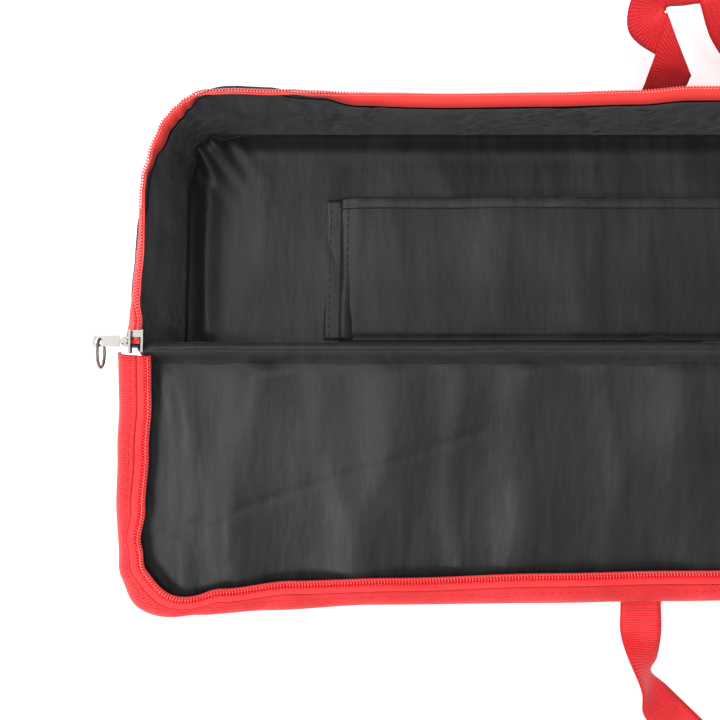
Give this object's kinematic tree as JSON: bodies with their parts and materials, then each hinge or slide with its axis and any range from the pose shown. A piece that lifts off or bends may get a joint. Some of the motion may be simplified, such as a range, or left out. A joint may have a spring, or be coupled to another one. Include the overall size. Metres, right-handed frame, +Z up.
{
  "type": "clamshell carry bag",
  "caption": "Long padded clamshell carry bag lying open, with a zip round three sides, a webbing-walled lid, a slip pocket and webbing handles.",
  "frame": {"origin": "centre of the back panel's outer face, which lies on the floor", "axes": "+X along the bag, +Y from the hinge side to the far side of the body tray, +Z up"},
  "size_m": [0.8592, 0.4871, 0.1076],
  "materials": {
    "shell_cloth": "matt black coated woven polyester",
    "lining_cloth": "satin black woven polyester lining",
    "foam": "soft open foam, sealed inside",
    "webbing": "ribbed red polypropylene webbing",
    "zip_tape": "red woven zip tape",
    "zip_coil": "red nylon coil",
    "slider_metal": "bright nickel plate"
  },
  "bodies": {
    "body": {"back_panel": "shell_cloth", "back_panel_foam": "foam", "back_lining": "lining_cloth", "gusset_shell": "shell_cloth", "gusset_foam": "foam", "gusset_lining": "lining_cloth", "bottom_gusset": "shell_cloth", "bottom_gusset_foam": "foam", "bottom_gusset_lining": "lining_cloth", "body_zip_tape": "zip_tape", "body_zip_coil": "zip_coil", "pocket_panel": "lining_cloth", "pocket_hem": "lining_cloth", "pocket_pleat_left": "lining_cloth", "pocket_pleat_right": "lining_cloth", "zip_end_tab_left": "shell_cloth", "zip_end_tab_right": "shell_cloth", "back_handle_ends": "webbing"},
    "lid": {"hinge_strip": "shell_cloth", "hinge_strip_lining": "lining_cloth", "front_panel": "shell_cloth", "front_panel_foam": "foam", "front_lining": "lining_cloth", "lid_band": "webbing", "lid_zip_tape": "zip_tape", "lid_zip_coil": "zip_coil", "front_handle_ends": "webbing"},
    "back_handle": {"back_handle": "webbing"},
    "front_handle": {"front_handle": "webbing"},
    "slider_left": {"slider_left": "slider_metal"},
    "slider_right": {"slider_right": "slider_metal"},
    "pull_tab_left": {"pull_tab_left": "slider_metal"},
    "pull_tab_right": {"pull_tab_right": "slider_metal"},
    "pull_ring_left": {"pull_ring_left": "slider_metal"},
    "pull_ring_right": {"pull_ring_right": "slider_metal"}
  },
  "joints": [
    {"name": "lid_fold", "type": "hinge", "parent": "body", "child": "lid", "pos_m": [0, -0.0785, 0.071], "axis": [-1, 0, 0], "range_deg": [0, 196.93]},
    {"name": "back_handle_swing", "type": "hinge", "parent": "body", "child": "back_handle", "pos_m": [0, 0.0795, 0.0065], "axis": [-1, 0, 0], "range_deg": [-12, 58]},
    {"name": "front_handle_swing", "type": "hinge", "parent": "lid", "child": "front_handle", "pos_m": [0, -0.23797, 0], "axis": [-1, 0, 0], "range_deg": [0, 20]},
    {"name": "slider_left_slide", "type": "slide", "parent": "body", "child": "slider_left", "axis": [0, 1, 0], "range_m": [0, 0.1]},
    {"name": "slider_right_slide", "type": "slide", "parent": "body", "child": "slider_right", "axis": [0, 1, 0], "range_m": [0, 0.1]},
    {"name": "pull_left_swing", "type": "hinge", "parent": "slider_left", "child": "pull_tab_left", "pos_m": [-0.411, -0.076, 0.0743], "axis": [0, 0, -1], "range_deg": [0, 60]},
    {"name": "pull_right_swing", "type": "hinge", "parent": "slider_right", "child": "pull_tab_right", "pos_m": [0.411, -0.076, 0.0743], "axis": [0, 0, 1], "range_deg": [0, 60]},
    {"name": "ring_left_swing", "type": "hinge", "parent": "pull_tab_left", "child": "pull_ring_left", "pos_m": [-0.4264, -0.076, 0.076], "axis": [1, 0, 0], "range_deg": [-75, 0]},
    {"name": "ring_right_swing", "type": "hinge", "parent": "pull_tab_right", "child": "pull_ring_right", "pos_m": [0.4264, -0.076, 0.076], "axis": [1, 0, 0], "range_deg": [-75, 0]}
  ]
}
